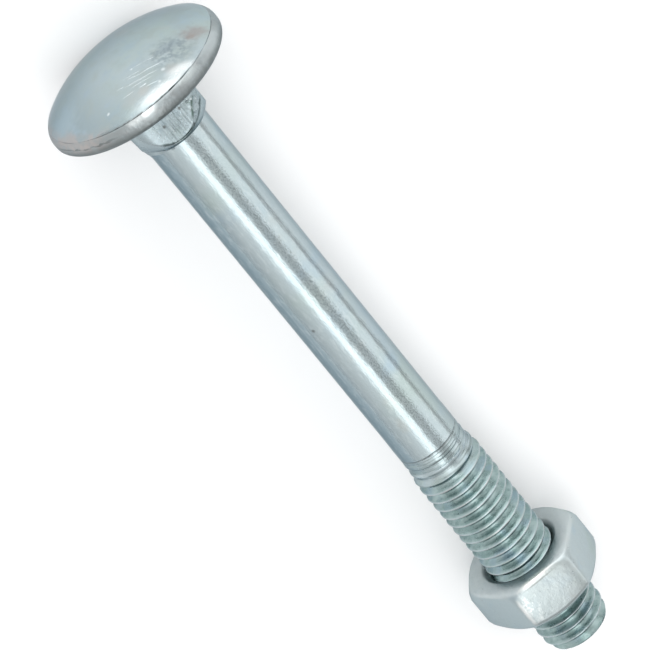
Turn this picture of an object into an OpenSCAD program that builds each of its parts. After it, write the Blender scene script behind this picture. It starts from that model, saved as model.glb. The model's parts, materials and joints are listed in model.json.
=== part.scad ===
// Cup-head square-neck carriage bolt with its hexagon nut run on near the tip.
// Millimetres, +Z up. The bolt lies as it comes to rest on a flat surface: on one
// point of its head's rim and on the lower flat of the nut, tip towards +X.
// Each piece is drawn on its own axis first, with the underside of the head at
// z = 0 and the tip at z = bolt_len, and as_it_lies() then lays it down.

/* [Head] */
// Diameter of the domed head
head_d = 20.4; // [16:0.1:26]
// Height of the crown above the underside of the head
head_h = 4.8; // [3.8:0.1:6.5]
// Thickness of the head's rim, up to the sharp edge of the crown
rim_t = 1.7; // [1.2:0.05:2.4]
// Radius of the rim's lower edge
rim_edge_r = 0.6; // [0.2:0.05:0.8]
// Radius of the fillet where the neck leaves the head
head_fillet_r = 0.5; // [0.2:0.05:0.9]

/* [Neck] */
// Width of the square neck across its flats
neck_w = 8.3; // [7.6:0.1:10]
// Length of the neck along the middle of its flats
neck_len = 5.4; // [3.5:0.1:8]
// Radius of the neck's four long corners
neck_corner_r = 1.9; // [0.6:0.1:2.6]
// Radius of the arc, seen from the side, that rounds the neck's corners off to its end
neck_end_r = 4; // [3:0.1:8]

/* [Shank] */
// Diameter of the plain shank, which is the blank that the thread is rolled on
shank_d = 7.1; // [6.6:0.05:7.4]
// Length of the bolt from the underside of the head to the tip
bolt_len = 80.8; // [70:0.1:160]

/* [Thread] */
// Outer diameter of the thread over its crests
thread_d = 7.9; // [7.6:0.05:8]
// Pitch of the thread
pitch = 1.25; // [1:0.05:1.5]
// Angle between the thread's flanks and a cross-section of the bolt
flank_angle = 30; // [27.5:0.5:35]
// Length of the thread with its run-out, measured back from the tip
thread_len = 27.8; // [24:0.1:50]
// Number of turns over which the thread rises from the shank to full height
runout_turns = 2; // [1:0.5:3]
// Diameter of the flat end face at the tip
tip_d = 7; // [6:0.1:7.4]
// Length of the tapered lead at the tip
tip_len = 1.9; // [0.8:0.1:3]
// Number of straight segments in each turn of the thread
turn_steps = 32; // [24:4:48]

/* [Nut] */
// Width of the nut across its flats
nut_w = 12.8; // [12:0.1:14]
// Height of the nut along the bolt
nut_h = 5.8; // [5:0.1:7.5]
// Diameter over the worn corners of the nut
nut_corner_d = 14.4; // [14:0.1:14.8]
// Diameter of the chamfer circle on the face towards the head
front_face_d = 12.1; // [11:0.1:12.6]
// Diameter of the chamfer circle on the face towards the tip
back_face_d = 11.6; // [10.6:0.1:12.6]
// Angle of the nut's corner chamfers, measured from its faces
chamfer_angle = 30; // [20:1:35]
// Clearance between the bolt's crests and the nut's bore, on the radius
bore_gap = 0.08; // [0.05:0.01:0.1]
// Diameter of the countersink at both ends of the bore
csk_d = 9.2; // [8.6:0.1:10.4]
// Length of bolt that stands out past the nut
nut_from_tip = 6.2; // [1:0.1:12]

/* [Hidden] */
$fn = 96;

// Head profile: the crown's arc meets the straight side of the rim at a sharp edge.
head_r = head_d / 2;
rim_at = head_r - rim_edge_r;
crown_rise = head_h - rim_t;
crown_r = (pow(head_r, 2) + pow(crown_rise, 2)) / (2 * crown_rise);

// Neck and shank.
shank_r = shank_d / 2;
neck_corner_reach = (neck_w / 2 - neck_corner_r) * sqrt(2) + neck_corner_r;
neck_arc_at = neck_corner_reach - neck_end_r;
neck_arc_start = neck_len - sqrt(pow(neck_end_r, 2) - pow(neck_w / 2 - neck_arc_at, 2));
neck_end = neck_arc_start + sqrt(pow(neck_end_r, 2) - pow(shank_r - neck_arc_at, 2));
fillet_sink = 0.2;

// Thread: the shares of a pitch that its flat crests and roots take, the depth that its
// flanks then give, the small step down from the shank where it starts, and the length
// that it is sunk into the shank.
thread_r = thread_d / 2;
tip_r = tip_d / 2;
thread_start = bolt_len - thread_len;
runout = runout_turns * pitch;
crest_share = 1 / 8;
root_share = 1 / 4;
flank_share = (1 - crest_share - root_share) / 2;
thread_depth = flank_share * pitch / tan(flank_angle);
start_step = 0.05;
thread_sink = 0.6;
thread_foot = thread_start - thread_sink;

// The thread's surface is drawn between lines that climb with the helix. Each turn has
// four: both edges of the crest and both edges of the root, at these shares of a pitch.
line_shares = [0, crest_share, crest_share + flank_share, 1 - flank_share];
thread_lines = 4 * (ceil((bolt_len - thread_foot) / pitch) + 2);

// Nut.
nut_at = bolt_len - nut_from_tip - nut_h;
flat_r = nut_w / 2;
corner_r = nut_w / sqrt(3);
bore_r = thread_r + bore_gap;
csk_depth = csk_d / 2 - bore_r;
cut_past = 1;

// How the bolt lies: the lowest point of the rim and the outer edge of the nut's
// lower flat are level, so the axis dips by dip degrees towards the tip.
back_edge = nut_at + nut_h - (flat_r - back_face_d / 2) * tan(chamfer_angle);
reach = back_edge + rim_edge_r;
drop = flat_r - rim_at;
dip = asin(rim_edge_r / norm([reach, drop])) - atan2(drop, reach);
axis_up = rim_edge_r + rim_at * cos(dip) - rim_edge_r * sin(dip);
crown_x = (crown_r - head_h) * cos(dip) - crown_r;
tip_x = bolt_len * cos(dip) + tip_r * sin(dip);
axis_back = -(crown_x + tip_x) / 2;

// Lays a piece down from its own axis onto the surface, centred over the origin.
module as_it_lies() {
    translate([axis_back, 0, axis_up]) rotate([0, 90 + dip, 0]) children();
}

// Half section of the head: radius along x, height above the underside along y.
module head_section() {
    intersection() {
        translate([0, head_h - crown_r]) circle(crown_r, $fn = 256);
        translate([0, rim_t]) square([crown_r, head_h]);
    }
    translate([0, rim_edge_r]) square([head_r, rim_t - rim_edge_r]);
    translate([rim_at, rim_edge_r]) circle(rim_edge_r);
    square([rim_at, rim_t]);
}

// Section of the neck: a square with rounded corners.
module neck_section() {
    inner = neck_w - 2 * neck_corner_r;
    square([neck_w, inner], center = true);
    square([inner, neck_w], center = true);
    for (x = [-1, 1], y = [-1, 1]) translate([x, y] * inner / 2) circle(neck_corner_r);
}

// Section of the fillet under the head, sunk a little into the head and the neck.
module fillet_section() {
    difference() {
        translate([-fillet_sink, -fillet_sink]) square(head_fillet_r + fillet_sink);
        translate([head_fillet_r, head_fillet_r]) circle(head_fillet_r);
    }
}

// The fillet all round the neck: four straight runs and four quarter turns.
module head_fillet() {
    half = neck_w / 2 - neck_corner_r;
    for (side = [0:3]) rotate(90 * side) {
        translate([neck_w / 2, half, 0]) rotate([90, 0, 0])
            linear_extrude(2 * half) fillet_section();
        translate([half, half, 0])
            rotate_extrude(angle = 90) translate([neck_corner_r, 0]) fillet_section();
    }
}

// The round shape that the neck's corners and its end are drawn in to.
module neck_envelope() {
    rotate_extrude() {
        square([neck_corner_reach, neck_arc_start]);
        intersection() {
            translate([neck_arc_at, neck_arc_start]) circle(neck_end_r);
            square([neck_corner_reach, neck_end]);
        }
    }
}

// Radii of the thread's crests and roots at height z. Both leave the shank at the
// start of the run-out, and the crests come down again over the lead at the tip.
function crest_at(z) = lookup(z, [
    [thread_start, shank_r - start_step],
    [thread_start + runout, thread_r],
    [bolt_len - tip_len, thread_r],
    [bolt_len, tip_r]
]);
function root_at(z) = lookup(z, [
    [thread_start, shank_r - start_step],
    [thread_start + runout, thread_r - thread_depth]
]);

// Radius of the thread's surface at height z and an angle step. share is how far
// through a pitch the point lies, from the lower edge of a crest.
function thread_at(z, step) =
    let (
        climb = (z - thread_foot) / pitch - step / turn_steps,
        share = climb - floor(climb),
        crest = crest_at(z),
        root = min(root_at(z), crest)
    )
    lookup(share, [
        [0, crest],
        [crest_share, crest],
        [crest_share + flank_share, root],
        [1 - flank_share, root],
        [1, crest]
    ]);

// Point on the thread's surface at height z and an angle step.
function thread_point(z, step) =
    let (r = thread_at(z, step), angle = 360 * step / turn_steps)
    [r * cos(angle), r * sin(angle), z];

// Height of a line of the thread at an angle step: it climbs one pitch a turn.
function line_height(line, step) =
    thread_foot + pitch * (floor(line / 4) - 1 + line_shares[line % 4] + step / turn_steps);

// Number of the point of a line at an angle step. Below the foot and above the tip all
// lines share one ring of points, and a line's last step is the first of the line that
// it runs on into, one turn up.
function line_point(line, step) =
    step == turn_steps ? line_point(line + 4, 0) :
    line_height(line, step) <= thread_foot ? step :
    line_height(line, step) >= bolt_len ? turn_steps + step :
    (2 + line) * turn_steps + step;

// The rolled right-hand thread as one closed solid with flat ends.
module thread() {
    ring = [0:turn_steps - 1];
    points = concat(
        [for (z = [thread_foot, bolt_len], step = ring) thread_point(z, step)],
        [for (line = [0:thread_lines - 1], step = ring)
            thread_point(line_height(line, step), step)]
    );
    sides = [
        for (line = [0:thread_lines - 2], step = ring)
            let (
                a = line_point(line, step),
                b = line_point(line, step + 1),
                c = line_point(line + 1, step + 1),
                d = line_point(line + 1, step)
            )
            each [[a, d, c], [a, c, b]]
    ];
    whole_sides = [for (f = sides) if (f[0] != f[1] && f[1] != f[2] && f[2] != f[0]) f];
    foot = [for (step = ring) step];
    end_face = [for (step = ring) 2 * turn_steps - 1 - step];
    polyhedron(points, concat(whole_sides, [foot, end_face]));
}

// One forged and rolled piece: head, square neck, shank and thread.
module bolt() {
    color("lightsteelblue") as_it_lies() {
        rotate_extrude() mirror([0, 1]) head_section();
        intersection() {
            linear_extrude(neck_end) neck_section();
            neck_envelope();
        }
        head_fillet();
        cylinder(h = thread_start, r = shank_r);
        thread();
    }
}

// Half section of the turned blank of the nut, chamfered from both faces.
module nut_section() {
    front_r = front_face_d / 2;
    back_r = back_face_d / 2;
    edge_r = nut_corner_d / 2;
    polygon([
        [0, 0],
        [front_r, 0],
        [edge_r, (edge_r - front_r) * tan(chamfer_angle)],
        [edge_r, nut_h - (edge_r - back_r) * tan(chamfer_angle)],
        [back_r, nut_h],
        [0, nut_h]
    ]);
}

// Half section of what is cut out of the nut: the bore and its two countersinks.
module bore_section() {
    polygon([
        [0, -cut_past],
        [csk_d / 2 + cut_past, -cut_past],
        [bore_r, csk_depth],
        [bore_r, nut_h - csk_depth],
        [csk_d / 2 + cut_past, nut_h + cut_past],
        [0, nut_h + cut_past]
    ]);
}

// Hexagon nut, with one flat up and one down.
module nut() {
    color("silver") as_it_lies() translate([0, 0, nut_at]) difference() {
        intersection() {
            rotate(30) cylinder(h = nut_h, r = corner_r, $fn = 6);
            rotate_extrude() nut_section();
        }
        rotate_extrude() bore_section();
    }
}

bolt();
nut();
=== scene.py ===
"""Looks of a zinc-plated carriage bolt with its hexagon nut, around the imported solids.

Both pieces are drawn on the bolt's own axis first, in millimetres: x runs along the
bolt from the underside of its head, and an angle goes from up to the camera's left.
Points are then put where the solids lie, which the frame's mounts and joint give.
"""

import json
import math

import bpy
from mathutils import Matrix, Vector, noise


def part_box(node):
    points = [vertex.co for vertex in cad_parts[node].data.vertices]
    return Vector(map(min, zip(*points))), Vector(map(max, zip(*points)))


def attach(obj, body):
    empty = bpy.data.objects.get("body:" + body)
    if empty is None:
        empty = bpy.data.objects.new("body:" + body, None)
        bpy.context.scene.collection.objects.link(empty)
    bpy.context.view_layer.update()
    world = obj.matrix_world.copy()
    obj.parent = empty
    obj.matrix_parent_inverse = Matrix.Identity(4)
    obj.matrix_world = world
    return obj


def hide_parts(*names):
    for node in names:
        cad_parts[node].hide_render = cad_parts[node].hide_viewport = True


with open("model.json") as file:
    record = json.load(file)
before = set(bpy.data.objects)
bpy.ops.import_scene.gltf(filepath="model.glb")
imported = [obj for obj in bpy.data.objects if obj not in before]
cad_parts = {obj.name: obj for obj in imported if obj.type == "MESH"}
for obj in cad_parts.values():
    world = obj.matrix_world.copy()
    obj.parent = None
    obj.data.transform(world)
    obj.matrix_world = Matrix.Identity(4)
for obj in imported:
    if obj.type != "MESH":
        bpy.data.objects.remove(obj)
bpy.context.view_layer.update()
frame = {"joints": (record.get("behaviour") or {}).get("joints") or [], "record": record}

MM = 0.001

# Where the bolt lies, and its sizes, from the frame.
mounts = {mount["name"]: mount for mount in frame["record"]["mounts"]}


def place_of(name):
    return Vector(mounts[name]["pos_m"])


def size_of(name, size):
    return mounts[name]["dims"][size]


ALONG = Vector(frame["joints"][0]["axis"]).normalized()
SIDE = Vector((0, -1, 0))
UP = SIDE.cross(ALONG)
START = place_of("shank") + ALONG * (place_of("head_bearing") - place_of("shank")).dot(ALONG)


def along(place):
    """How far along the bolt a point of the frame lies, in millimetres."""
    return (place - START).dot(ALONG) / MM


box_low, box_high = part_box("bolt")
HEAD_R = (box_high.y - box_low.y) / 2 / MM
NECK_LEN = size_of("neck", "length_mm")
SHANK_R = size_of("shank", "r_mm")
SHANK_END = along(place_of("shank")) + size_of("shank", "length_mm") / 2
THREAD_R = size_of("thread", "r_mm")
THREAD_FULL = along(place_of("thread")) - size_of("thread", "length_mm") / 2
THREAD_LEAD = along(place_of("thread")) + size_of("thread", "length_mm") / 2
NUT_AT = along(place_of("nut_bearing"))

# Sizes that the frame doesn't state, in millimetres, as in the solids.
HEAD_H = 4.8
RIM_T = 1.7
RIM_EDGE_R = 0.6
HEAD_FILLET_R = 0.5
NECK_HALF = 4.15
NECK_CORNER_R = 1.9
NECK_END_R = 4.0
PITCH = 1.25
THREAD_DEPTH = 0.677
THREAD_SINK = 0.6
TIP_R = 3.5
TIP_LEN = 1.9
NUT_H = 5.8
NUT_FLAT_R = 6.4
NUT_EDGE_R = 7.2
NUT_FRONT_R = 6.05
NUT_BACK_R = 5.8
NUT_CHAMFER_SLOPE = math.tan(math.radians(30))
NUT_CSK_R = 4.6

BOLT_LEN = THREAD_LEAD + TIP_LEN

# The neck's corners and end are rounded off by an arc, seen from the side.
NECK_REACH = (NECK_HALF - NECK_CORNER_R) * math.sqrt(2) + NECK_CORNER_R
NECK_ARC_AT = NECK_REACH - NECK_END_R
NECK_ARC_START = NECK_LEN - math.sqrt(NECK_END_R**2 - (NECK_HALF - NECK_ARC_AT) ** 2)
NECK_END = NECK_ARC_START + math.sqrt(NECK_END_R**2 - (SHANK_R - NECK_ARC_AT) ** 2)


# Skins: rings of points about the bolt's axis, joined into one closed mesh.
STEPS = 180
TURN = [2 * math.pi * step / STEPS for step in range(STEPS)]
SHARP_ANGLE = math.radians(50)


def put(x, r, angle):
    """The place in the frame of a point given by its cylindrical coordinates."""
    across = UP * math.cos(angle) + SIDE * math.sin(angle)
    return START + (ALONG * x + across * r) * MM


class Skin:
    """Points and faces of one piece, with the number of the material on each face."""

    def __init__(self):
        self.points, self.faces, self.looks = [], [], []

    def point(self, x, r, angle):
        self.points.append(put(x, r, angle))
        return len(self.points) - 1

    def ring(self, shape):
        """A ring of points. shape gives (x, r) at an angle."""
        return [self.point(*shape(angle), angle) for angle in TURN]

    def face(self, corners, look):
        """A face, without corners that fall together."""
        whole = [c for i, c in enumerate(corners) if c != corners[i - 1]]
        if len(whole) > 2:
            self.faces.append(whole)
            self.looks.append(look)

    def band(self, low, high, look):
        """Quads between a ring and the next one along."""
        for i in range(len(low)):
            j = (i + 1) % len(low)
            self.face([low[i], low[j], high[j], high[i]], look)

    def rings(self, shapes, look, low=None):
        """Bands through a row of ring shapes. Returns the last ring."""
        for shape in shapes:
            high = self.ring(shape)
            if low is not None:
                self.band(low, high, look)
            low = high
        return low

    def cap(self, ring, x, look, facing_back):
        """Closes a ring with a fan to a point on the axis."""
        middle = self.point(x, 0, 0)
        for i in range(len(ring)):
            j = (i + 1) % len(ring)
            pair = [ring[j], ring[i]] if facing_back else [ring[i], ring[j]]
            self.face(pair + [middle], look)

    def build(self, name, materials):
        mesh = bpy.data.meshes.new(name)
        mesh.from_pydata(self.points, [], self.faces)
        for material in materials:
            mesh.materials.append(material)
        mesh.polygons.foreach_set("material_index", self.looks)
        mesh.polygons.foreach_set("use_smooth", [True] * len(self.faces))
        mesh.set_sharp_from_angle(angle=SHARP_ANGLE)
        mesh.validate()
        piece = bpy.data.objects.new(name, mesh)
        bpy.context.scene.collection.objects.link(piece)
        return piece


# Thread profile over one pitch, as shares of the pitch and how high the thread stands
# there, from root 0 to crest 1. The crest's middle is at CREST_AT.
CREST_AT = 0.0625
PROFILE = [
    (0.000, 0.94),
    (0.025, 0.985),
    (CREST_AT, 1.0),
    (0.100, 0.985),
    (0.125, 0.94),
    (0.281, 0.49),
    (0.437, 0.05),
    (0.490, 0.008),
    (0.5625, 0.0),
    (0.635, 0.008),
    (0.688, 0.05),
    (0.844, 0.49),
]
HELIX_ZERO = SHANK_END - THREAD_SINK - PITCH / 2


def helix(skin, first, last, x_first, x_last, radius, look, inside_out=False):
    """Joins two rings by lines that climb one pitch a turn, clamped to the rings.

    radius gives the surface's radius from x, the angle and the profile's height.
    """
    low_turn = math.floor((x_first - HELIX_ZERO) / PITCH) - 2
    high_turn = math.ceil((x_last - HELIX_ZERO) / PITCH) + 1
    turns = range(low_turn, high_turn)
    lines = [(turn + share, height) for turn in turns for share, height in PROFILE]
    made = {}

    def number(line, step):
        if step == STEPS:
            return number(line + len(PROFILE), 0)
        if line >= len(lines):
            return last[step]
        climb, height = lines[line]
        x = HELIX_ZERO + PITCH * (climb + step / STEPS)
        if x <= x_first:
            return first[step]
        if x >= x_last:
            return last[step]
        if (line, step) not in made:
            made[line, step] = skin.point(x, radius(x, TURN[step], height), TURN[step])
        return made[line, step]

    for line in range(len(lines) - 1):
        for step in range(STEPS):
            a, b = number(line, step), number(line, step + 1)
            c, d = number(line + 1, step + 1), number(line + 1, step)
            skin.face([d, c, b, a] if inside_out else [a, b, c, d], look)


def ease(value, low, high):
    """0 below low, 1 above high, smooth between them."""
    share = min(max((value - low) / (high - low), 0), 1)
    return share * share * (3 - 2 * share)


def bell(off, width):
    """1 where off is 0, and falling away to both sides of it."""
    return math.exp(-((off / width) ** 2))


def rough(x, angle, scale, seed):
    """Even noise about 0 on the bolt's surface, in bumps of about scale millimetres."""
    spot = Vector((x, 4 * math.cos(angle), 4 * math.sin(angle))) / scale
    return noise.noise(spot + Vector((0, 0, 17.3 * seed)))


# Bolt: head.
CROWN_RISE = HEAD_H - RIM_T
CROWN_R = (HEAD_R**2 + CROWN_RISE**2) / (2 * CROWN_RISE)
CROWN_EDGE = HEAD_R - 0.42  # the trim line
EDGE_DROP = 0.09
EDGE_DROP_FROM = 8.0
SIDE_AT = -1.0  # where the rim is widest
TRIM_SINK = 0.04
UNDERSIDE_RINGS = (8.6, 7.6, 6.6, 5.8)


def crown_x(r):
    return CROWN_R - HEAD_H - math.sqrt(CROWN_R**2 - r**2)


def turned_down(r):
    return EDGE_DROP * max((r - EDGE_DROP_FROM) / (CROWN_EDGE - EDGE_DROP_FROM), 0) ** 2


def crown_shapes():
    """The dome, out to the trim line. It turns down a little more over its last part."""
    count = 40
    for i in range(1, count + 1):
        r = CROWN_EDGE * (i / count) ** 0.8
        yield lambda angle, r=r: (crown_x(r) + turned_down(r), r)


def smoothed(angle):
    """1 where the dome runs smoothly into the rim, and 0 where a step shows between them."""
    from_up = abs((angle + math.pi) % (2 * math.pi) - math.pi)
    return ease(from_up, math.radians(24), math.radians(48))


def trim_shape(past):
    """The ragged line that the trimming die left between the dome and the rim."""

    def shape(angle):
        step = (0.6 + 1.5 * rough(0, angle, 1.4, 2)) * (1 - smoothed(angle))
        r = CROWN_EDGE + 0.02 - TRIM_SINK * max(step, 0)
        return crown_x(CROWN_EDGE) + EDGE_DROP + past, r

    return shape


def rim_shapes():
    """The rim: rounded from the trim line to its side, and round to the underside."""
    top, edge = 12, 12
    top_x = crown_x(CROWN_EDGE) + EDGE_DROP + 0.08
    top_r = CROWN_EDGE + 0.04
    for i in range(top + 1):

        def shape(angle, share=i / top):
            start = math.radians(38) * smoothed(angle)
            turn = start + (math.pi / 2 - start) * share
            x = SIDE_AT - (SIDE_AT - top_x) * math.cos(turn) / math.cos(start)
            widened = (math.sin(turn) - math.sin(start)) / (1 - math.sin(start))
            r = top_r + (HEAD_R - top_r) * widened
            return x, r - 0.03 * math.cos(turn) * (1 + 1.5 * rough(x, angle, 2.5, 3))

        yield shape
    for i in range(edge + 1):
        turn = math.radians(90 * i / edge)
        x = RIM_EDGE_R * (math.sin(turn) - 1)
        r = HEAD_R - RIM_EDGE_R * (1 - math.cos(turn))
        yield lambda angle, x=x, r=r: (x, r)


# Bolt: neck. Its wear is in millimetres.
BURR = 0.05
CUT = 0.22
CHIP = 0.16
CHIP_AT = math.radians(322)
LEFT_TAPER = 0.26
LEFT_LIP = 0.34


def neck_square(angle):
    """Radius of the neck's rounded square at an angle."""
    turn = abs((angle + math.pi / 4) % (math.pi / 2) - math.pi / 4)
    inner = NECK_HALF - NECK_CORNER_R
    if NECK_HALF * math.tan(turn) <= inner:
        return NECK_HALF / math.cos(turn)
    reach = inner * (math.cos(turn) + math.sin(turn))
    return reach + math.sqrt(reach**2 - 2 * inner**2 + NECK_CORNER_R**2)


def neck_drawn(x):
    """Radius that the neck's corners and end are drawn in to."""
    past = max(x - NECK_ARC_START, 0)
    return NECK_ARC_AT + math.sqrt(NECK_END_R**2 - past**2)


def neck_crease(angle):
    """How far along the flats end on the neck's rounded end."""
    return NECK_ARC_START + math.sqrt(NECK_END_R**2 - (neck_square(angle) - NECK_ARC_AT) ** 2)


def left_side(angle):
    """1 on the neck's side to the camera's left, and 0 on its other sides."""
    return ease(math.sin(angle), 0.35, 0.85)


def neck_lip(x, angle):
    """Radius where the neck's left side runs out softly along the shank."""
    return SHANK_R + LEFT_LIP * left_side(angle) * (1 - ease(x, 5.2, 7.0))


def neck_r(x, angle):
    """Radius of the neck's surface, with its fillet, its burr and its chipped corner."""
    r = min(neck_square(angle), neck_drawn(x))
    if x < HEAD_FILLET_R:
        r += HEAD_FILLET_R - math.sqrt(HEAD_FILLET_R**2 - (HEAD_FILLET_R - x) ** 2)
    on_flat = 1 - ease(abs(math.sin(angle)), 0.3, 0.5) if math.cos(angle) > 0 else 0
    past = x - neck_crease(angle)
    burr = BURR * (0.7 + 1.2 * rough(x, angle, 0.7, 4)) * bell(past + 0.08, 0.1)
    cut = CUT * (0.8 + 1.0 * rough(x, angle, 0.8, 5)) * bell(past - 0.14, 0.1)
    r += on_flat * (burr - cut)
    r = max(r - LEFT_TAPER * left_side(angle) * ease(x, 1.5, 5.2), neck_lip(x, angle))
    chipped = bell(angle - CHIP_AT, 0.17) * ease(x, 0.8, 1.6) * (1 - ease(x, 4.2, 4.8))
    return r - chipped * CHIP * (0.35 + 2 * abs(rough(x, angle, 0.8, 6)))


def neck_shapes():
    """Rings along the neck, closer together where it turns in to the shank."""
    coarse, fine = 44, 52
    turn_in = 3.9
    for i in range(coarse):
        x = turn_in * (i / coarse) ** 1.25
        yield lambda angle, x=x: (x, neck_r(x, angle))
    for i in range(fine + 1):
        x = turn_in + (NECK_END - turn_in) * i / fine
        yield lambda angle, x=x: (x, neck_r(x, angle))


# Bolt: shank, thread and tip.
ROLLS_AT = SHANK_END - 1.75  # the ring where the rolls began
MARK_PITCH = PITCH / 3
START_STEP = 0.02  # down from the shank, where the thread starts


def shank_shapes():
    """The drawn shank, up to the ring where the rolls began, and their first marks."""
    count, marks = 44, 34
    for i in range(1, count + 1):
        x = NECK_END + (ROLLS_AT - 0.25 - NECK_END) * (i / count) ** 1.3
        swell = 0.035 * ease(x, ROLLS_AT - 3, ROLLS_AT - 0.9)

        def drawn(angle, x=x, swell=swell):
            return x, neck_lip(x, angle) + swell + 0.006 * rough(x, angle, 6, 7)

        yield drawn
    for back, sink in ((0.16, -0.03), (0.09, 0.03), (0.03, 0.06), (-0.05, 0.0)):

        def ring(angle, x=ROLLS_AT - back, r=SHANK_R - sink):
            return x + 0.12 * rough(0, angle, 1.1, 8), r

        yield ring
    for i in range(marks + 1):
        x = ROLLS_AT + 0.2 + (SHANK_END - ROLLS_AT - 0.2) * i / marks
        yield lambda angle, x=x: (x, marked_r(x, angle))


def marked_r(x, angle):
    """Radius from the ring to the thread: fine marks, and a faint ridge that leads to it."""
    depth = 0.026 * (1 + 1.2 * rough(x, angle, 1.5, 10))
    mark = depth * math.sin(2 * math.pi * (x / MARK_PITCH) - angle)
    turn = 2 * math.pi * ((x - HELIX_ZERO) / PITCH - CREST_AT) - angle
    ridge = 0.05 * math.cos(turn) * ease(x, ROLLS_AT + 0.2, ROLLS_AT + 0.9)
    fading = 1 - ease(x, SHANK_END - 0.3, SHANK_END)
    return SHANK_R + (mark + ridge) * fading - START_STEP * ease(x, SHANK_END - 0.35, SHANK_END)


def crest_r(x):
    """Radius of the crests: they rise over the run-out and round off at the tip."""
    rise = ease(x, SHANK_END - 0.9, THREAD_FULL + 0.1)
    crest = SHANK_R - START_STEP + (THREAD_R - SHANK_R + START_STEP) * rise
    end = max((x - THREAD_LEAD) / TIP_LEN, 0)
    return crest - (THREAD_R - TIP_R) * min(end, 1) ** 2


def root_r(x):
    depth = (THREAD_R - THREAD_DEPTH - SHANK_R + START_STEP) * ease(x, SHANK_END, THREAD_FULL + 0.4)
    return min(SHANK_R - START_STEP + depth, crest_r(x))


def thread_surface(x, angle, height):
    """Rolled surface: its crests are a little uneven where the metal didn't fill."""
    uneven = 0.03 * height * (rough(x, angle, 1.2, 9) - 0.35)
    r = root_r(x) + (crest_r(x) - root_r(x)) * height
    return r + uneven * ease(x, THREAD_FULL, THREAD_FULL + 1)


def tip_shapes():
    """The tip's end face, a little hollow."""
    for inset, r in ((0.0, 3.3), (0.0, 3.05), (0.02, 2.0), (0.03, 1.0)):
        yield lambda angle, inset=inset, r=r: (BOLT_LEN - inset, r)


LOOK_HEAD, LOOK_NECK, LOOK_SHANK, LOOK_THREAD = range(4)


def make_bolt(materials):
    skin = Skin()
    ring = skin.rings(crown_shapes(), LOOK_HEAD)
    skin.cap(list(range(STEPS)), -HEAD_H, LOOK_HEAD, facing_back=True)
    ring = skin.rings([trim_shape(0.02), trim_shape(0.07)], LOOK_HEAD, ring)
    ring = skin.rings(rim_shapes(), LOOK_HEAD, ring)
    under = [lambda angle, r=r: (0, r) for r in UNDERSIDE_RINGS]
    ring = skin.rings(under, LOOK_HEAD, ring)
    ring = skin.rings(neck_shapes(), LOOK_NECK, ring)
    ring = skin.rings(shank_shapes(), LOOK_SHANK, ring)
    thread_start, thread_end = SHANK_END + 0.06, BOLT_LEN - 0.06
    first = skin.rings([lambda angle: (thread_start, SHANK_R - START_STEP)], LOOK_THREAD, ring)
    last = skin.ring(lambda angle: (thread_end, TIP_R - 0.02))
    helix(skin, first, last, thread_start, thread_end, thread_surface, LOOK_THREAD)
    ring = skin.rings(tip_shapes(), LOOK_THREAD, last)
    skin.cap(ring, BOLT_LEN - 0.03, LOOK_THREAD, facing_back=False)
    return skin.build("bolt_skin", materials)


# Nut.
THREAD_CLEARANCE = 0.1
NUT_BORE_R = THREAD_R + 0.08
CORNER_OFFSETS = (0, 0.8, 1.5, 2.1, 2.8, 4, 6, 9, 13, 18, 24)
CORNER_SOFT = 0.17
BORE_EDGE = 0.35
BORE_IN = 0.42
EDGE_WEAR = (0.14, 0.95, 0.55, 0.45, 0.50, 0.14)


def nut_angles():
    """Angles round the nut, close together at its corners."""
    angles = set()
    for corner in range(30, 390, 60):
        angles |= {corner + side * offset for offset in CORNER_OFFSETS for side in (-1, 1)}
        angles.add(corner + 30)
    return [math.radians(angle) for angle in sorted(a % 360 for a in angles)]


def hexagon(angle):
    """Radius of the nut's side at an angle, with its corners turned down and worn."""
    turn = (angle + math.pi / 6) % (math.pi / 3) - math.pi / 6
    flat = NUT_FLAT_R / math.cos(turn)
    over = (flat - NUT_EDGE_R) / CORNER_SOFT
    return flat - CORNER_SOFT * math.log1p(math.exp(over))


def softened(corner, before, after, wear):
    """Rounds one corner of an outline: three points in place of it."""
    a = Vector(before) - Vector(corner)
    b = Vector(after) - Vector(corner)
    a *= min(wear / a.length, 0.45)
    b *= min(wear / b.length, 0.45)
    middle = Vector(corner) + (a + b) * 0.29
    return [tuple(Vector(corner) + a), tuple(middle), tuple(Vector(corner) + b)]


def nut_outline(angle):
    """Outline of the nut at an angle, as (x, r), from its front bore edge to its back."""
    side = hexagon(angle)
    front = (side - NUT_FRONT_R) * NUT_CHAMFER_SLOPE
    back = (side - NUT_BACK_R) * NUT_CHAMFER_SLOPE
    corners = [
        (BORE_EDGE, NUT_CSK_R - BORE_EDGE),
        (0, NUT_CSK_R),
        (0, NUT_FRONT_R),
        (front, side),
        (NUT_H - back, side),
        (NUT_H, NUT_BACK_R),
        (NUT_H, NUT_CSK_R),
        (NUT_H - BORE_EDGE, NUT_CSK_R - BORE_EDGE),
    ]
    outline = [corners[0]]
    for before, corner, after, wear in zip(corners, corners[1:], corners[2:], EDGE_WEAR):
        outline += softened(corner, before, after, wear)
    return outline + [corners[-1]]


def nut_thread(x, angle, height):
    """The nut's own thread, clear of the bolt's all over, opened by both countersinks."""
    root, crest = THREAD_R - THREAD_DEPTH, THREAD_R
    r = min(root + (crest - root) * height + THREAD_CLEARANCE, NUT_BORE_R)
    from_face = min(x - NUT_AT, NUT_AT + NUT_H - x)
    return max(r, NUT_CSK_R - from_face)


LOOK_NUT, LOOK_BORE = range(2)


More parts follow.
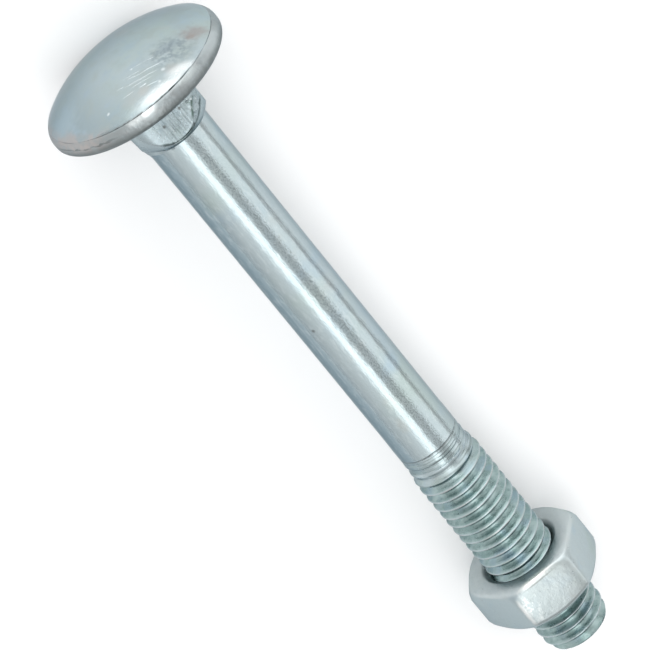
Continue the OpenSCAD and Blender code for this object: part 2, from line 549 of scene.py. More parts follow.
def bridge(skin, ring_a, angles_a, ring_b, angles_b, turned=False):
    """Triangles between two rings of the nut whose points stand at different angles."""
    i = j = 0
    count_a, count_b = len(ring_a), len(ring_b)
    while i < count_a or j < count_b:
        next_a = angles_a[i + 1] if i + 1 < count_a else angles_a[0] + 2 * math.pi
        next_b = angles_b[j + 1] if j + 1 < count_b else angles_b[0] + 2 * math.pi
        a, b = ring_a[i % count_a], ring_b[j % count_b]
        if j >= count_b or (i < count_a and next_a <= next_b):
            face = [a, b, ring_a[(i + 1) % count_a]]
            i += 1
        else:
            face = [a, b, ring_b[(j + 1) % count_b]]
            j += 1
        skin.face(face[::-1] if turned else face, LOOK_BORE)


def make_nut(materials):
    skin = Skin()
    angles = nut_angles()
    rings = []
    for places in zip(*[nut_outline(angle) for angle in angles]):
        rings.append([skin.point(NUT_AT + x, r, angle) for (x, r), angle in zip(places, angles)])
    for low, high in zip(rings, rings[1:]):
        skin.band(low, high, LOOK_NUT)
    x_first, x_last = NUT_AT + BORE_IN, NUT_AT + NUT_H - BORE_IN
    first = skin.ring(lambda angle: (x_first, NUT_CSK_R - BORE_IN))
    last = skin.ring(lambda angle: (x_last, NUT_CSK_R - BORE_IN))
    bridge(skin, rings[0], angles, first, TURN)
    bridge(skin, rings[-1], angles, last, TURN, turned=True)
    helix(skin, first, last, x_first, x_last, nut_thread, LOOK_BORE, inside_out=True)
    return skin.build("nut_skin", materials)


# Colours, as the shader's base colour.
def rgb(red, green, blue):
    return (red, green, blue, 1.0)


ZINC = rgb(0.415, 0.488, 0.508)
ZINC_GREEN = rgb(0.400, 0.480, 0.468)
ZINC_BLUE = rgb(0.370, 0.465, 0.520)
ZINC_WARM = rgb(0.450, 0.480, 0.470)
ZINC_PALE = rgb(0.66, 0.72, 0.73)
# The next colour is painted shade, laid over sides and parts that the light reaches less.
ZINC_SHADE = rgb(0.270, 0.335, 0.360)
PIT = rgb(0.16, 0.18, 0.18)
GRAZING_TINT = rgb(0.58, 0.63, 0.66)

DOME_GREEN = rgb(0.36, 0.40, 0.37)
DOME_BLUE = rgb(0.34, 0.43, 0.50)
DOME_CLOUD = rgb(0.22, 0.27, 0.29)
RIM = rgb(0.300, 0.325, 0.330)
RIM_PINK = rgb(0.400, 0.375, 0.365)
# The next colour is painted shade for the rim's lower edge.
RIM_LOW_SHADE = rgb(0.15, 0.17, 0.17)
TRIM_LINE = rgb(0.19, 0.21, 0.21)

# The next two colours are painted shade on the neck: its left side, and its root by the head.
NECK_LEFT_SHADE = rgb(0.30, 0.35, 0.37)
NECK_ROOT_SHADE = rgb(0.20, 0.25, 0.25)
DRAWN_DARK = rgb(0.12, 0.15, 0.15)
DRAWN_PALE = rgb(0.58, 0.64, 0.64)
BURR_SHADE = rgb(0.09, 0.12, 0.12)
CREASE_SHADE = rgb(0.08, 0.13, 0.11)
CHIP_SHADE = rgb(0.15, 0.20, 0.18)

# The next colour is painted shade for the shank's left edge.
SHANK_LEFT_SHADE = rgb(0.20, 0.265, 0.30)
SHANK_STREAK = rgb(0.50, 0.57, 0.59)
SHANK_GRAIN = rgb(0.22, 0.27, 0.27)
SHANK_STAIN = rgb(0.38, 0.38, 0.34)
ROLLED_SHADE = rgb(0.27, 0.34, 0.34)

# The next three colours are painted shade for the thread's flanks, in its grooves.
FLANK_SHADE_DARK = rgb(0.20, 0.285, 0.28)
FLANK_SHADE_PALE = rgb(0.34, 0.435, 0.43)
FLANK_BLUE = rgb(0.24, 0.33, 0.40)
RUN_OUT_LINES = rgb(0.20, 0.25, 0.25)
CREST_DARK = rgb(0.36, 0.40, 0.39)
CREST_PALE = rgb(0.48, 0.46, 0.455)

NUT_SATIN = rgb(0.50, 0.54, 0.53)
NUT_TOP_LIGHT = rgb(0.52, 0.57, 0.56)
# The next colour is painted light on the nut's upper flat.
NUT_RUBBED = rgb(0.74, 0.77, 0.76)
NUT_SCUFF = rgb(0.66, 0.70, 0.69)
# The next two colours are painted light on the nut's front face and a painted highlight over its
# upper edge.
NUT_FRONT_LIGHT = rgb(0.60, 0.64, 0.64)
NUT_STRIP_HIGHLIGHT = rgb(0.88, 0.87, 0.82)
NUT_LINE = rgb(0.24, 0.25, 0.24)
# The next colour is a painted highlight along the nut's upper flat's left edge.
NUT_EDGE_HIGHLIGHT = rgb(0.82, 0.84, 0.83)
BORE_DARK = rgb(0.34, 0.42, 0.42)
BORE_PALE = rgb(0.52, 0.60, 0.59)

PAPER = rgb(0.93, 0.935, 0.94)
WHITE = rgb(1.0, 1.0, 1.0)


# Materials.
class Graph:
    """Nodes of one material or world, with short calls for the ones used here."""

    def __init__(self, owner):
        owner.use_nodes = True
        self.owner = owner
        self.tree = owner.node_tree

    def node(self, kind, inputs=None, output=0, **settings):
        """Adds a node and returns one of its outputs. Sockets go by number or name."""
        made = self.tree.nodes.new("ShaderNode" + kind)
        for name, value in settings.items():
            setattr(made, name, value)
        for slot, value in (inputs or {}).items():
            self.give(made.inputs[slot], value)
        return made.outputs[output]

    def give(self, socket, value):
        """Links a socket to another node's output, or sets it to a plain value."""
        if isinstance(value, bpy.types.NodeSocket):
            self.tree.links.new(value, socket)
        else:
            socket.default_value = value

    def math(self, operation, a, b=0.0, c=0.0):
        return self.node("Math", {0: a, 1: b, 2: c}, operation=operation)

    def add(self, a, b):
        return self.math("ADD", a, b)

    def multiply(self, *values):
        product = values[0]
        for value in values[1:]:
            product = self.math("MULTIPLY", product, value)
        return product

    def rest(self, share):
        """What is left of 1."""
        return self.math("SUBTRACT", 1.0, share)

    def blend(self, share, a, b):
        """A number between a, at a share of 0, and b, at 1."""
        return self.add(self.multiply(share, b), self.multiply(self.rest(share), a))

    def fade(self, value, low, high, to_low=0.0, to_high=1.0):
        """Goes smoothly from to_low to to_high while the value goes from low to high."""
        inputs = {"Value": value, "From Min": low, "From Max": high, "To Min": to_low,
                  "To Max": to_high}
        return self.node("MapRange", inputs, interpolation_type="SMOOTHSTEP")

    def line(self, value, at, inner, outer):
        """1 where a value is within inner of at, and 0 where it is more than outer off."""
        off = self.math("ABSOLUTE", self.math("SUBTRACT", value, at))
        return self.fade(off, inner, outer, 1.0, 0.0)

    def vector(self, operation, a, b, output=0):
        return self.node("VectorMath", {0: a, 1: b}, output, operation=operation)

    def dot(self, a, b):
        return self.vector("DOT_PRODUCT", a, b, output="Value")

    def length(self, vector):
        return self.node("VectorMath", {0: vector}, output="Value", operation="LENGTH")

    def on_bolt(self):
        """Millimetres along the bolt, up and to the left, at the shaded point."""
        spot = self.node("TexCoord", output="Object")
        spot = self.vector("SUBTRACT", spot, START)
        parts = [self.dot(spot, axis / MM) for axis in (ALONG, UP, SIDE)]
        return self.node("CombineXYZ", dict(enumerate(parts)))

    def along(self, spot):
        return self.dot(spot, (1.0, 0.0, 0.0))

    def up(self, spot):
        return self.dot(spot, (0.0, 1.0, 0.0))

    def left(self, spot):
        return self.dot(spot, (0.0, 0.0, 1.0))

    def end_on(self, spot):
        """The point as it is seen along the bolt."""
        return self.vector("MULTIPLY", spot, (0, 1, 1))

    def radius(self, spot):
        """Distance from the bolt's axis, in millimetres."""
        return self.length(self.end_on(spot))

    def noise(self, spot, stretch, detail=2.0, roughness=0.5):
        """Noise of 0 to 1. stretch is the number of bumps in a millimetre, or in each way."""
        if not isinstance(stretch, tuple):
            stretch = (stretch,) * 3
        spot = self.vector("MULTIPLY", spot, stretch)
        inputs = {"Vector": spot, "Scale": 1.0, "Detail": detail, "Roughness": roughness}
        return self.node("TexNoise", inputs)

    def spots(self, spot, per_mm, size):
        """Scattered round spots: 1 in their middle, 0 outside size of their spacing."""
        spot = self.vector("MULTIPLY", spot, (per_mm,) * 3)
        far = self.node("TexVoronoi", {"Vector": spot, "Scale": 1.0})
        return self.fade(far, 0.0, size, 1.0, 0.0)

    def blob(self, spot, middle, reach, ragged=0.0):
        """A soft patch about a point: 1 in it and 0 at reach, which is given each way."""
        off = self.vector("DIVIDE", self.vector("SUBTRACT", spot, middle), reach)
        far = self.length(off)
        if ragged:
            wave = self.math("SUBTRACT", self.noise(spot, 1.6, detail=3), 0.5)
            far = self.add(far, self.multiply(wave, ragged))
        return self.fade(far, 0.2, 1.0, 1.0, 0.0)

    def scratch(self, spot, start, end, width):
        """A thin line seen along the bolt, from start to end as (up, left) in millimetres."""
        start, end = Vector((0, *start)), Vector((0, *end))
        line = end - start
        off = self.vector("SUBTRACT", self.end_on(spot), start)
        way = self.dot(off, line / line.length_squared)
        aside = self.length(self.vector("CROSS_PRODUCT", off, line.normalized()))
        ends = self.multiply(self.fade(way, 0.0, 0.3), self.fade(way, 0.7, 1.0, 1.0, 0.0))
        return self.multiply(self.fade(aside, width * 0.2, width, 1.0, 0.0), ends)

    def tint(self, colour, tint, *shares):
        """A colour with a tint laid over it, by the product of the shares."""
        # The node's colour sockets go by number, as its other sockets have their names.
        inputs = {"Factor": self.multiply(*shares), 6: colour, 7: tint}
        return self.node("Mix", inputs, output=2, data_type="RGBA")

    def patches(self, colour, spot, patches, ragged=0.0, within=1.0):
        """A colour with soft patches laid over it, each as (middle, reach, tint, share)."""
        for middle, reach, tint, share in patches:
            patch = self.blob(spot, middle, reach, ragged)
            colour = self.tint(colour, tint, patch, share, within)
        return colour

    def bumps(self, *layers):
        """The normal over layers of bumps, each as (height, depth in millimetres)."""
        normal = None
        for height, depth in layers:
            inputs = {"Height": height, "Strength": 1.0, "Distance": depth * MM}
            if normal is not None:
                inputs["Normal"] = normal
            normal = self.node("Bump", inputs)
        return normal

    def shade(self, inputs):
        """Gives the material's shader its inputs. Returns the material."""
        for name, value in inputs.items():
            self.give(self.tree.nodes["Principled BSDF"].inputs[name], value)
        return self.owner

    def shade_zinc(self, colour, roughness, normal):
        inputs = {"Base Color": colour, "Roughness": roughness, "Normal": normal,
                  "Metallic": 1.0, "Specular Tint": GRAZING_TINT}
        return self.shade(inputs)


def material_graph(name):
    return Graph(bpy.data.materials.new(name))


def zinc_base(graph, spot, scale):
    """Zinc plate with the faint green, blue and warm drift of its clear film."""
    drift = graph.noise(spot, scale, detail=3)
    colour = graph.tint(ZINC, ZINC_GREEN, graph.fade(drift, 0.45, 0.72))
    drift = graph.noise(spot, scale * 1.7)
    colour = graph.tint(colour, ZINC_BLUE, graph.fade(drift, 0.52, 0.8))
    drift = graph.noise(spot, scale * 2.4, detail=4)
    return graph.tint(colour, ZINC_WARM, graph.fade(drift, 0.55, 0.85), 0.7)


# Patches on the head, as (middle, reach, tint, share). A middle and a reach are in
# millimetres along the bolt, up and to the left.
DOME_PATCHES = (
    ((-2.4, 2.0, 8.2), (3.0, 3.4, 4.0), ZINC_BLUE, 0.6),
    ((-4.0, -5.0, 3.0), (3.0, 4.5, 5.0), ZINC_GREEN, 0.6),
    ((-2.6, 4.4, -7.3), (2.6, 1.7, 1.9), rgb(0.33, 0.32, 0.31), 0.85),
    ((-3.5, 5.1, -4.4), (2.2, 1.1, 2.2), rgb(0.29, 0.35, 0.38), 0.75),
    ((-3.2, 6.3, -5.4), (2.2, 1.3, 1.8), rgb(0.34, 0.40, 0.39), 0.6),
    ((-2.7, 7.8, -3.4), (1.5, 0.8, 1.0), rgb(0.40, 0.40, 0.38), 0.5),
    ((-3.0, 7.2, -1.5), (2.0, 1.2, 1.8), rgb(0.37, 0.43, 0.41), 0.5),
    ((-4.4, -2.7, -1.9), (1.5, 1.6, 1.6), ZINC_WARM, 0.7),
    ((-2.9, 8.2, 0.0), (1.0, 0.7, 0.9), rgb(0.50, 0.47, 0.43), 0.35),
    ((-2.5, 4.8, -6.8), (1.2, 0.7, 0.7), rgb(0.31, 0.27, 0.25), 0.6),
    ((-1.8, 4.4, 8.6), (1.6, 2.2, 1.0), rgb(0.40, 0.37, 0.36), 0.7),
)
# Painted highlights: a pale crescent near the dome's upper edge, to its right.
DOME_CRESCENT_HIGHLIGHT = (
    ((-2.3, 9.2, -1.6), (1.3, 0.95, 3.8), rgb(0.68, 0.72, 0.72), 0.75),
    ((-2.5, 8.3, -4.4), (1.5, 0.85, 2.6), rgb(0.82, 0.86, 0.86), 0.75),
)
# Painted highlights on the rim: a white spot near its top, and lighter patches towards its right.
RIM_HIGHLIGHTS = (
    ((-1.75, 10.0, 1.1), (0.62, 1.5, 1.5), rgb(0.86, 0.90, 0.90), 0.95),
    ((-1.65, 9.9, 2.6), (0.55, 1.5, 1.2), rgb(0.60, 0.64, 0.64), 0.8),
    ((-1.70, 9.0, -4.0), (0.60, 1.6, 2.6), rgb(0.52, 0.57, 0.57), 0.6),
    ((-1.40, 6.2, -8.0), (1.30, 3.6, 3.6), rgb(0.47, 0.52, 0.53), 0.8),
)
# Bright dots on the dome, as (up, left, reach), and scratches, as (start, end, width).
DOTS = (
    (7.42, -2.74, 0.24),
    (8.38, -1.74, 0.18),
    (5.07, -0.35, 0.15),
    (7.65, -0.48, 0.12),
    (7.15, 4.1, 0.20),
)
SCRATCHES = (
    ((6.19, -0.70), (6.63, -3.75), 0.085),
    ((5.79, 0.70), (6.20, -0.60), 0.08),
    ((6.30, 1.70), (7.12, -1.50), 0.10),
    ((7.55, 0.30), (7.70, -0.80), 0.08),
    ((5.60, 0.30), (5.95, -1.10), 0.06),
    ((6.75, -0.20), (7.15, -2.60), 0.06),
    ((5.10, -1.40), (5.45, -3.10), 0.07),
    ((7.95, -0.30), (8.20, -1.90), 0.07),
    ((5.95, 2.20), (6.25, 1.10), 0.08),
    ((6.50, 0.60), (6.90, -0.90), 0.05),
    ((6.95, 1.10), (7.45, -1.90), 0.05),
    ((5.40, 1.20), (5.75, -0.10), 0.05),
    ((6.05, 0.40), (6.45, -1.90), 0.05),
    ((4.85, 0.10), (5.25, -1.80), 0.05),
    ((7.20, 2.30), (7.50, 0.60), 0.06),
)


def zinc_head():
    graph = material_graph("zinc_head")
    spot = graph.on_bolt()
    out = graph.radius(spot)
    leftward = graph.dot(spot, (0.0, -0.35, 1.0))

    # The dome.
    colour = zinc_base(graph, spot, 0.14)
    # Painted shade: the dome darkens towards its left.
    away = graph.dot(spot, (0.0, 0.25, 1.0))
    colour = graph.tint(colour, ZINC_SHADE, graph.fade(away, 1.5, 10.0, 0.05, 0.9))
    mottle = graph.noise(spot, 0.45, detail=5, roughness=0.65)
    colour = graph.tint(colour, DOME_GREEN, graph.fade(mottle, 0.48, 0.66, 0.0, 0.35))
    colour = graph.tint(colour, DOME_BLUE, graph.fade(mottle, 0.46, 0.32, 0.0, 0.45))
    colour = graph.patches(colour, spot, DOME_PATCHES, ragged=0.9)
    # Painted highlight: the pale crescent near the dome's upper edge.
    colour = graph.patches(colour, spot, DOME_CRESCENT_HIGHLIGHT)
    cloud = graph.noise(spot, 1.5, detail=5, roughness=0.7)
    clouded = graph.blob(spot, (-3.3, 5.6, -4.4), (3.0, 2.9, 3.8))
    colour = graph.tint(colour, DOME_CLOUD, clouded, graph.fade(cloud, 0.42, 0.60), 0.70)
    for up, left, reach in DOTS:
        dot = graph.blob(graph.end_on(spot), (0, up, left), (1.0, reach, reach * 1.3))
        colour = graph.tint(colour, ZINC_PALE, dot, 0.8)
    lines = 0.0
    for start, end, width in SCRATCHES:
        lines = graph.math("MAXIMUM", lines, graph.scratch(spot, start, end, width))
    wear = graph.noise(spot, 2.0, detail=3, roughness=0.7)
    lines = graph.multiply(lines, graph.fade(wear, 0.3, 0.55, 0.3, 1.0))
    colour = graph.tint(colour, ZINC_PALE, lines, 0.45)
    specks = graph.spots(spot, 0.55, 0.05)
    colour = graph.tint(colour, PIT, specks, 0.5)

    # The rim with its painted highlights, a painted shade on its lower edge, the seam round it and
    # the trim line.
    on_rim = graph.fade(out, CROWN_EDGE - 0.02, CROWN_EDGE + 0.06)
    ragged = graph.noise(spot, 1.3, detail=4, roughness=0.7)
    colour = graph.tint(colour, RIM, on_rim, graph.fade(ragged, 0.3, 0.7, 0.6, 1.0))
    pink = graph.multiply(
        graph.fade(out, CROWN_EDGE - 0.9, CROWN_EDGE),
        graph.fade(leftward, 1.0, 5.0),
        graph.fade(ragged, 0.35, 0.65, 0.2, 0.9),
    )
    colour = graph.tint(colour, RIM_PINK, pink)
    # Painted highlights on the rim.
    colour = graph.patches(colour, spot, RIM_HIGHLIGHTS, ragged=0.5, within=on_rim)
    x = graph.along(spot)
    # Painted shade on the rim's lower rounded edge, next to the underside.
    low = graph.multiply(
        graph.fade(x, -1.25, -0.45),
        graph.fade(out, HEAD_R - 1.1, HEAD_R - 0.5),
        graph.fade(ragged, 0.2, 0.6, 0.55, 0.85),
    )
    colour = graph.tint(colour, RIM_LOW_SHADE, low)
    wander = graph.math("SUBTRACT", x, graph.multiply(ragged, 0.6))
    seam = graph.multiply(
        on_rim,
        graph.line(wander, -1.45, 0.03, 0.13),
        graph.fade(cloud, 0.36, 0.48, 0.3, 1.0),
        graph.fade(leftward, 0.5, 3.5),
    )
    colour = graph.tint(colour, PIT, seam, 0.8)
    trim = graph.multiply(
        graph.line(out, CROWN_EDGE + 0.01, 0.02, 0.09),
        graph.fade(ragged, 0.36, 0.56, 0.15, 0.9),
        graph.fade(leftward, -8.0, -5.5),
        graph.fade(leftward, 1.0, 3.5, 1.0, 0.0),
    )
    colour = graph.tint(colour, TRIM_LINE, trim)

    roughness = graph.fade(cloud, 0.3, 0.8, 0.15, 0.24)
    roughness = graph.add(roughness, graph.multiply(lines, 0.12))
    roughness = graph.add(roughness, graph.multiply(on_rim, 0.16))
    normal = graph.bumps(
        (graph.noise(spot, 3.0, detail=4, roughness=0.6), 0.010),
        (mottle, 0.03),
        (graph.multiply(on_rim, ragged), 0.10),
        (lines, 0.012),
        (graph.multiply(specks, -1.0), 0.05),
    )
    return graph.shade_zinc(colour, roughness, normal)


NECK_PITS = (
    ((3.24, 4.15, 0.69), (0.30, 1.0, 0.30), PIT, 1.0),
    ((2.68, 4.15, -1.61), (0.26, 1.0, 0.26), PIT, 1.0),
)
CREASE = ((2.5, -3.35), (4.7, -1.85), 0.2)
BURR_AT = 5.78


def zinc_neck():
    graph = material_graph("zinc_neck")
    spot = graph.on_bolt()
    x, up, left = graph.along(spot), graph.up(spot), graph.left(spot)
    # Painted shade: the neck, under the head, is darkened all over, more on its left side and next
    # to the head.
    colour = graph.tint(zinc_base(graph, spot, 0.4), ZINC_SHADE, 0.45)
    colour = graph.tint(colour, NECK_LEFT_SHADE, graph.fade(left, 1.7, 2.3), 0.4)
    colour = graph.tint(colour, NECK_ROOT_SHADE, graph.fade(x, 2.0, 0.2), 0.5)

    # Lines that the die drew on the upper flat.
    on_flat = graph.blob(spot, (3.4, 4.2, -0.1), (3.2, 1.6, 2.9))
    drawn = graph.noise(spot, (0.3, 0.6, 6.0), detail=4, roughness=0.7)
    colour = graph.tint(colour, DRAWN_DARK, graph.fade(drawn, 0.52, 0.66), on_flat, 0.85)
    colour = graph.tint(colour, DRAWN_PALE, graph.fade(drawn, 0.46, 0.34), on_flat, 0.6)

    # The bowed burr at the flat's end, the crease and pits on it, and the chipped corner.
    edge = graph.noise(spot, 1.4, detail=4, roughness=0.7)
    off_middle = graph.add(left, 0.35)
    bow = graph.multiply(off_middle, off_middle, 0.15)
    burr_x = graph.add(graph.add(x, graph.multiply(edge, 0.5)), bow)
    burr = graph.multiply(
        graph.line(burr_x, BURR_AT, 0.08, 0.26),
        graph.fade(up, 2.9, 3.3),
        graph.fade(left, 1.7, 2.2, 1.0, 0.0),
        graph.fade(edge, 0.35, 0.5, 0.3, 0.9),
    )
    colour = graph.tint(colour, BURR_SHADE, burr)
    from_above = graph.node("CombineXYZ", {1: x, 2: left})
    crease = graph.multiply(graph.scratch(from_above, *CREASE), graph.fade(up, 2.4, 3.0))
    colour = graph.tint(colour, CREASE_SHADE, crease, 0.85)
    colour = graph.patches(colour, spot, NECK_PITS)
    chipped = graph.blob(spot, (2.6, 3.6, -3.0), (2.4, 1.6, 1.3), ragged=0.8)
    chips = graph.noise(spot, 1.8, detail=4, roughness=0.7)
    colour = graph.tint(colour, ZINC_PALE, chipped, graph.fade(chips, 0.52, 0.64), 0.7)
    colour = graph.tint(colour, CHIP_SHADE, chipped, graph.fade(chips, 0.44, 0.34))

    grain = graph.noise(spot, 3.0, detail=4, roughness=0.6)
    normal = graph.bumps(
        (grain, 0.02),
        (graph.multiply(drawn, on_flat), 0.12),
        (graph.multiply(chips, chipped), 0.2),
    )
    return graph.shade_zinc(colour, graph.fade(grain, 0.2, 0.8, 0.22, 0.36), normal)


def zinc_shank():
    graph = material_graph("zinc_shank")
    spot = graph.on_bolt()
    left = graph.left(spot)
    colour = zinc_base(graph, spot, 0.12)
    # Painted shade: the shank darkens towards its left edge.
    colour = graph.tint(colour, SHANK_LEFT_SHADE, graph.fade(left, 1.6, 3.1, 0.0, 0.95))
    streaks = graph.noise(spot, (0.025, 1.5, 1.5), detail=3, roughness=0.6)
    colour = graph.tint(colour, SHANK_STREAK, graph.fade(streaks, 0.5, 0.7, 0.0, 0.25))
    mottle = graph.noise(spot, (0.9, 2.6, 2.6), detail=3, roughness=0.6)
    colour = graph.tint(colour, ZINC_PALE, graph.fade(mottle, 0.48, 0.70, 0.0, 0.18))
    grain = graph.noise(spot, (5.5, 8.0, 8.0), roughness=0.6)
    # The grain is real, and made stronger along a band just right of the middle as a painted dark
    # reflection.
    band = graph.fade(graph.line(left, -0.75, 0.3, 0.8), 0.0, 1.0, 0.12, 1.0)
    colour = graph.tint(colour, SHANK_GRAIN, band, graph.fade(grain, 0.48, 0.62), 0.6)
    # Painted shade: the shank darkens towards its right edge.
    colour = graph.tint(colour, ZINC_SHADE, graph.fade(left, -3.3, -2.3, 0.3, 0.0))
    stain = graph.blob(spot, (46.3, 3.4, 1.1), (1.6, 1.6, 0.7), ragged=0.8)
    colour = graph.tint(colour, SHANK_STAIN, stain, 0.3)

    # The ring where the rolls began, and the fine lines past it.
    x = graph.add(graph.along(spot), graph.multiply(grain, 0.15))
    ring = graph.line(x, ROLLS_AT + 0.05, 0.04, 0.15)
    colour = graph.tint(colour, PIT, ring, graph.fade(mottle, 0.35, 0.55, 0.25, 0.9), 0.7)
    rolled = graph.fade(x, ROLLS_AT, ROLLS_AT + 0.4)
    fine = graph.noise(spot, (5.0, 0.25, 0.25), roughness=0.6)
    colour = graph.tint(colour, ROLLED_SHADE, rolled, graph.fade(fine, 0.46, 0.60, 0.15, 0.7))
    pit = graph.blob(spot, (31.7, 2.9, 2.07), (0.30, 0.5, 0.24))
    colour = graph.tint(colour, PIT, pit, 0.8)

    waves = graph.noise(spot, (0.9, 2.0, 2.0))
    normal = graph.bumps((grain, 0.010), (waves, 0.021), (streaks, 0.012))
    return graph.shade_zinc(colour, graph.fade(mottle, 0.25, 0.8, 0.12, 0.19), normal)


def zinc_thread():
    """Mottled flanks darkened by painted shade in the grooves, and paler crests, after fine lines
    on the run-out.
    """
    graph = material_graph("zinc_thread")
    spot = graph.on_bolt()
    out = graph.radius(spot)
    formed = graph.fade(graph.along(spot), SHANK_END + 0.8, THREAD_FULL + 0.4)
    unformed = graph.rest(formed)
    blotches = graph.noise(spot, (1.1, 0.55, 0.55), detail=3, roughness=0.6)
    # Painted shade: the flanks and roots below the crests are darker than the plate, mottled.
    flank = graph.tint(FLANK_SHADE_DARK, FLANK_SHADE_PALE, graph.fade(blotches, 0.36, 0.68))
    blue = graph.noise(spot, (0.35, 0.45, 0.45))
    flank = graph.tint(flank, FLANK_BLUE, graph.fade(blue, 0.5, 0.7, 0.0, 0.5))
    below_crest = graph.fade(out, THREAD_R - 0.16, THREAD_R - 0.01, 1.0, 0.0)
    colour = graph.tint(zinc_base(graph, spot, 0.5), flank, formed, below_crest)
    fine = graph.noise(spot, (5.0, 0.2, 0.2), roughness=0.6)
    colour = graph.tint(colour, RUN_OUT_LINES, graph.fade(fine, 0.52, 0.62), unformed, 0.75)
    crest = graph.fade(out, THREAD_R - 0.035, THREAD_R - 0.01)
    wear = graph.noise(spot, 0.8, detail=3, roughness=0.6)
    pale = graph.tint(CREST_DARK, CREST_PALE, graph.fade(wear, 0.4, 0.65))
    colour = graph.tint(colour, pale, crest, formed, graph.fade(wear, 0.35, 0.6, 0.15, 0.65))
    grain = graph.noise(spot, 2.6, detail=4, roughness=0.6)
    normal = graph.bumps((grain, 0.03), (graph.multiply(fine, unformed), 0.07))
    return graph.shade_zinc(colour, graph.fade(blotches, 0.3, 0.8, 0.24, 0.36), normal)


def zinc_nut():
    graph = material_graph("zinc_nut")
    spot = graph.on_bolt()
    colour = graph.tint(zinc_base(graph, spot, 0.3), NUT_SATIN, 0.30)
    # Painted shade: the nut darkens the further up and to the left a point lies.
    leftward = graph.dot(spot, (0.0, 0.5, 1.0))
    colour = graph.tint(colour, ZINC_SHADE, graph.fade(leftward, 1.0, 7.0, 0.0, 0.45))

    # The upper flat, lightened a little as painted light, and rubbed pale at its left.
    scuffs = graph.noise(spot, (1.3, 1.2, 2.2), detail=4, roughness=0.75)
    scuffed = graph.fade(scuffs, 0.50, 0.62)
    top = graph.fade(graph.up(spot), 6.1, 6.3)
    # Painted light: the upper flat is a little lighter.
    colour = graph.tint(colour, NUT_TOP_LIGHT, top, 0.35)
    rubbed = graph.blob(spot, (NUT_AT + 2.6, 6.4, 2.6), (3.0, 0.8, 1.5), ragged=0.8)
    colour = graph.tint(colour, NUT_RUBBED, scuffed, rubbed, 0.7)
    colour = graph.tint(colour, NUT_SCUFF, scuffed, top, 0.1)

    # The front face, lightened as painted light, with a painted highlight strip over its upper
    # edge, and a painted highlight on the flat's left edge.
    # Painted light: the front face is lightened.
    front = graph.fade(graph.along(spot), NUT_AT + 0.30, NUT_AT + 0.60, 1.0, 0.0)
    colour = graph.tint(colour, NUT_FRONT_LIGHT, front, graph.fade(scuffs, 0.3, 0.7, 0.3, 0.5))
    # Painted highlight: a bright strip over the front face's upper edge.
    strip = graph.blob(spot, (NUT_AT + 0.1, 6.1, 0.6), (0.8, 0.5, 2.9), ragged=0.4)
    colour = graph.tint(colour, NUT_STRIP_HIGHLIGHT, strip, graph.fade(scuffs, 0.3, 0.6, 0.5, 0.95))
    line = graph.blob(spot, (NUT_AT + 0.62, 6.4, 0.4), (0.13, 0.5, 2.8), ragged=0.5)
    colour = graph.tint(colour, NUT_LINE, line, 0.7)
    # Painted highlight: a bright line along the upper flat's left edge.
    left_edge_highlight = graph.blob(spot, (NUT_AT + 2.8, 6.3, 3.5), (2.8, 0.6, 0.35), ragged=0.4)
    colour = graph.tint(colour, NUT_EDGE_HIGHLIGHT, left_edge_highlight, 0.75)
    colour = graph.tint(colour, PIT, graph.spots(spot, 0.8, 0.09), 0.6)

    grain = graph.noise(spot, 2.4, detail=4, roughness=0.65)
    normal = graph.bumps((grain, 0.025), (scuffs, 0.03))
    return graph.shade_zinc(colour, graph.fade(grain, 0.2, 0.8, 0.26, 0.38), normal)


def zinc_bore():
    graph = material_graph("zinc_bore")
    grain = graph.noise(graph.on_bolt(), 2.0, detail=3)
    colour = graph.tint(BORE_DARK, BORE_PALE, graph.fade(grain, 0.3, 0.7))
    normal = graph.bumps((grain, 0.02))
    return graph.shade_zinc(colour, graph.fade(grain, 0.2, 0.8, 0.32, 0.45), normal)


bolt = make_bolt([zinc_head(), zinc_neck(), zinc_shank(), zinc_thread()])
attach(bolt, "bolt")
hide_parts("bolt")

nut = make_nut([zinc_nut(), zinc_bore()])
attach(nut, "nut")
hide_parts("nut")


# Camera: as the photograph looks at the bolt, from beyond its head and well above it.
# The numbers are what a fit to the photo's outlines gave, along the bolt, up and to the
# left, in millimetres.
def turned(direction):
    """A direction of the frame, from its parts along the bolt, up and to the left."""
    return ALONG * direction[0] + UP * direction[1] + SIDE * direction[2]


PHOTO_WIDTH = 650
FOCAL_PIXELS = 4253.7
SENSOR_MM = 36.0
CAMERA_PLACE = START + turned((-165.757, 385.342, 0.748)) * MM
CAMERA_FORWARD = turned((0.4593, -0.8883, 0.0))
CAMERA_UP = turned((-0.6884, -0.3560, -0.6320))


def make_camera():
    camera = bpy.data.objects.new("camera", bpy.data.cameras.new("camera"))
    camera.data.sensor_width = SENSOR_MM
    camera.data.lens = FOCAL_PIXELS / PHOTO_WIDTH * SENSOR_MM
    camera.data.clip_start = 0.01
    bpy.context.scene.collection.objects.link(camera)
    back = -CAMERA_FORWARD.normalized()
    right = CAMERA_UP.cross(back).normalized()
    turn = Matrix((right, back.cross(right), back)).transposed()
    camera.matrix_world = Matrix.Translation(CAMERA_PLACE) @ turn.to_4x4()
    bpy.context.scene.camera = camera


make_camera()


# Floor.
FLOOR_HALF = 3.0


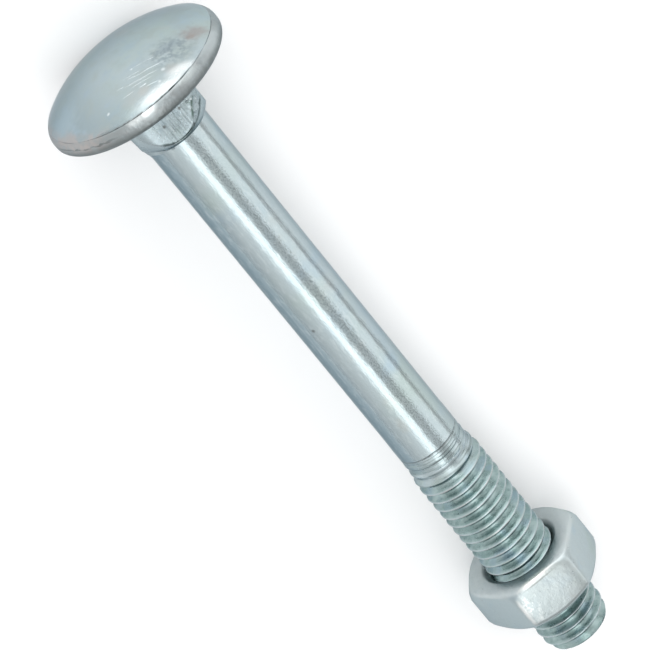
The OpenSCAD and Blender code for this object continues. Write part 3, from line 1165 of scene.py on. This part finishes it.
def make_floor():
    half = FLOOR_HALF
    mesh = bpy.data.meshes.new("floor")
    corners = [(-half, -half, 0), (half, -half, 0), (half, half, 0), (-half, half, 0)]
    mesh.from_pydata(corners, [], [(0, 1, 2, 3)])
    paper = material_graph("floor_paper").shade(
        {"Base Color": PAPER, "Roughness": 0.9, "Specular IOR Level": 0.2}
    )
    mesh.materials.append(paper)
    floor = bpy.data.objects.new("floor", mesh)
    bpy.context.scene.collection.objects.link(floor)


make_floor()


# Light: a studio tent of pale cloth. Its shade goes by the angle about the bolt's axis,
# in degrees from up and positive to the camera's left, so that the shank shows one
# bright strip, a darker gap and a broad pale side.
TENT = [
    (-180, 0.90),
    (-112, 0.95),
    (-92, 1.00),
    (-84, 0.68),
    (-76, 0.68),
    (-70, 1.48),
    (-38, 1.42),
    (-31, 0.76),
    (-5, 0.88),
    (3, 2.40),
    (16, 2.30),
    (28, 1.26),
    (40, 1.12),
    (66, 0.93),
    (86, 1.00),
    (140, 0.70),
    (180, 0.90),
]
# The tent's end beyond the head, which the dome reflects, and its end beyond the tip.
FRONT_GLOW = 2.1
TAIL_SHADE = 0.45


def make_world():
    world = bpy.data.worlds.new("tent")
    bpy.context.scene.world = world
    graph = Graph(world)
    spot = graph.node("TexCoord", output="Generated")
    x, up, left = [graph.dot(spot, axis) for axis in (ALONG, UP, SIDE)]
    turn = graph.math("ARCTAN2", left, up)
    ramp = graph.tree.nodes.new("ShaderNodeValToRGB")
    graph.give(ramp.inputs[0], graph.math("MULTIPLY_ADD", turn, 0.5 / math.pi, 0.5))
    stops = ramp.color_ramp.elements
    stops.remove(stops[0])
    brightest = max(shade for angle, shade in TENT)
    for i, (angle, shade) in enumerate(TENT):
        at = 0.5 + angle / 360
        stop = stops[0] if i == 0 else stops.new(at)
        stop.position = at
        stop.color = (shade / brightest, shade / brightest, shade / brightest, 1)
    tent = graph.multiply(ramp.outputs[0], brightest)
    tent = graph.blend(graph.fade(x, 0.62, 0.90), tent, TAIL_SHADE)
    glow = graph.multiply(graph.fade(left, 0.05, 0.45, 1.0, 0.5), FRONT_GLOW)
    strength = graph.blend(graph.fade(x, -0.90, -0.60, 1.0, 0.0), tent, glow)
    background = graph.tree.nodes["Background"]
    graph.give(background.inputs["Strength"], strength)
    graph.give(background.inputs["Color"], WHITE)


make_world()

bpy.context.scene.view_settings.view_transform = "Standard"
